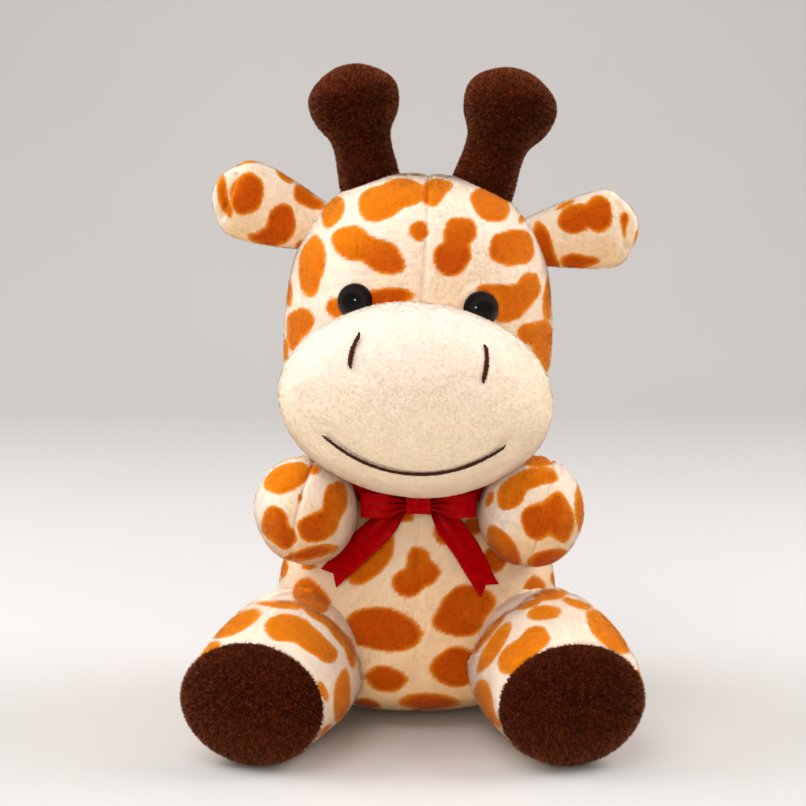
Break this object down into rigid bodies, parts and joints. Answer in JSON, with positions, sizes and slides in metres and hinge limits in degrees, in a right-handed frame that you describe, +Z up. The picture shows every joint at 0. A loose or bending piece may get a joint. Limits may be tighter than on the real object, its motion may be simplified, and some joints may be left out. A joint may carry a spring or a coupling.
{
  "type": "plush giraffe",
  "caption": "Seated plush giraffe with a wide stuffed muzzle, round eyes, knobbed horns, leaf ears, sprung stuffed limbs with brown soles, and a ribbon bow tied round its neck",
  "frame": {"origin": "centre of the flat seat that the giraffe rests on", "axes": "+Z up; the giraffe faces -Y; +X to the viewer's right as the giraffe is seen from the front"},
  "size_m": [0.1776, 0.1939, 0.2597],
  "materials": {
    "spotted_plush": "short-pile cream plush printed with orange-brown giraffe patches",
    "muzzle_plush": "short-pile plain cream plush",
    "brown_plush": "longer-pile dark brown plush",
    "stuffing": "white polyester fibre filling",
    "pellet_cloth": "cloth bag of plastic pellets",
    "eye_plastic": "polished black",
    "washer_plastic": "plain moulded white",
    "thread": "dark brown embroidery thread",
    "satin": "red satin ribbon"
  },
  "bodies": {
    "torso": {"body_skin": "spotted_plush", "body_stuffing": "stuffing", "pellet_bag": "pellet_cloth", "neck_ribbon": "satin", "bow_knot": "satin", "bow_left_loop": "satin", "bow_left_tail": "satin", "bow_right_loop": "satin", "bow_right_tail": "satin"},
    "neck": {"neck_plug": "stuffing"},
    "head": {"head_skin": "spotted_plush", "head_stuffing": "stuffing", "muzzle_skin": "muzzle_plush", "muzzle_stuffing": "stuffing", "left_eye": "eye_plastic", "right_eye": "eye_plastic", "left_eye_washer": "washer_plastic", "right_eye_washer": "washer_plastic", "mouth_stitch": "thread", "left_nostril_stitch": "thread", "right_nostril_stitch": "thread"},
    "left_horn": {"left_horn_skin": "brown_plush", "left_horn_stuffing": "stuffing"},
    "right_horn": {"right_horn_skin": "brown_plush", "right_horn_stuffing": "stuffing"},
    "left_ear": {"left_ear_skin": "spotted_plush", "left_ear_stuffing": "stuffing"},
    "right_ear": {"right_ear_skin": "spotted_plush", "right_ear_stuffing": "stuffing"},
    "left_arm": {"left_arm_skin": "spotted_plush", "left_arm_stuffing": "stuffing"},
    "right_arm": {"right_arm_skin": "spotted_plush", "right_arm_stuffing": "stuffing"},
    "left_leg": {"left_leg_skin": "spotted_plush", "left_leg_stuffing": "stuffing", "left_sole": "brown_plush"},
    "right_leg": {"right_leg_skin": "spotted_plush", "right_leg_stuffing": "stuffing", "right_sole": "brown_plush"},
    "tail": {"tail_cord": "spotted_plush", "tail_tuft": "brown_plush"}
  },
  "joints": [
    {"name": "neck_turn", "type": "hinge", "parent": "torso", "child": "neck", "pos_m": [0, 0, 0.1], "axis": [0, 0, 1], "range_deg": [-8, 8], "stiffness_Nm_per_rad": 1.5},
    {"name": "head_nod", "type": "hinge", "parent": "neck", "child": "head", "pos_m": [0, 0, 0.1], "axis": [-1, 0, 0], "range_deg": [0, 12], "stiffness_Nm_per_rad": 1.5},
    {"name": "left_horn_bend", "type": "hinge", "parent": "head", "child": "left_horn", "pos_m": [-0.01891, -0.002, 0.21186], "axis": [0, 1, 0], "range_deg": [-10, 10], "stiffness_Nm_per_rad": 0.05},
    {"name": "right_horn_bend", "type": "hinge", "parent": "head", "child": "right_horn", "pos_m": [0.02621, -0.002, 0.2091], "axis": [0, 1, 0], "range_deg": [-10, 10], "stiffness_Nm_per_rad": 0.05},
    {"name": "left_ear_bend", "type": "hinge", "parent": "head", "child": "left_ear", "pos_m": [-0.04183, -0.002, 0.19573], "axis": [0, 1, 0], "range_deg": [-12, 12], "stiffness_Nm_per_rad": 0.02},
    {"name": "right_ear_bend", "type": "hinge", "parent": "head", "child": "right_ear", "pos_m": [0.04694, -0.002, 0.1893], "axis": [0, 1, 0], "range_deg": [-12, 12], "stiffness_Nm_per_rad": 0.02},
    {"name": "left_arm_spread", "type": "hinge", "parent": "torso", "child": "left_arm", "pos_m": [-0.04, -0.008, 0.078], "axis": [0, 0, -1], "range_deg": [0, 35], "stiffness_Nm_per_rad": 0.1},
    {"name": "right_arm_spread", "type": "hinge", "parent": "torso", "child": "right_arm", "pos_m": [0.04, -0.008, 0.078], "axis": [0, 0, 1], "range_deg": [0, 35], "stiffness_Nm_per_rad": 0.1},
    {"name": "left_leg_spread", "type": "hinge", "parent": "torso", "child": "left_leg", "pos_m": [-0.044, -0.029, 0.028], "axis": [0, 0, -1], "range_deg": [-5, 15], "stiffness_Nm_per_rad": 0.3},
    {"name": "right_leg_spread", "type": "hinge", "parent": "torso", "child": "right_leg", "pos_m": [0.043, -0.029, 0.028], "axis": [0, 0, 1], "range_deg": [-5, 15], "stiffness_Nm_per_rad": 0.3},
    {"name": "tail_swing", "type": "hinge", "parent": "torso", "child": "tail", "pos_m": [0, 0.05213, 0.034], "axis": [0, 0, 1], "range_deg": [-25, 25], "stiffness_Nm_per_rad": 0.02}
  ]
}
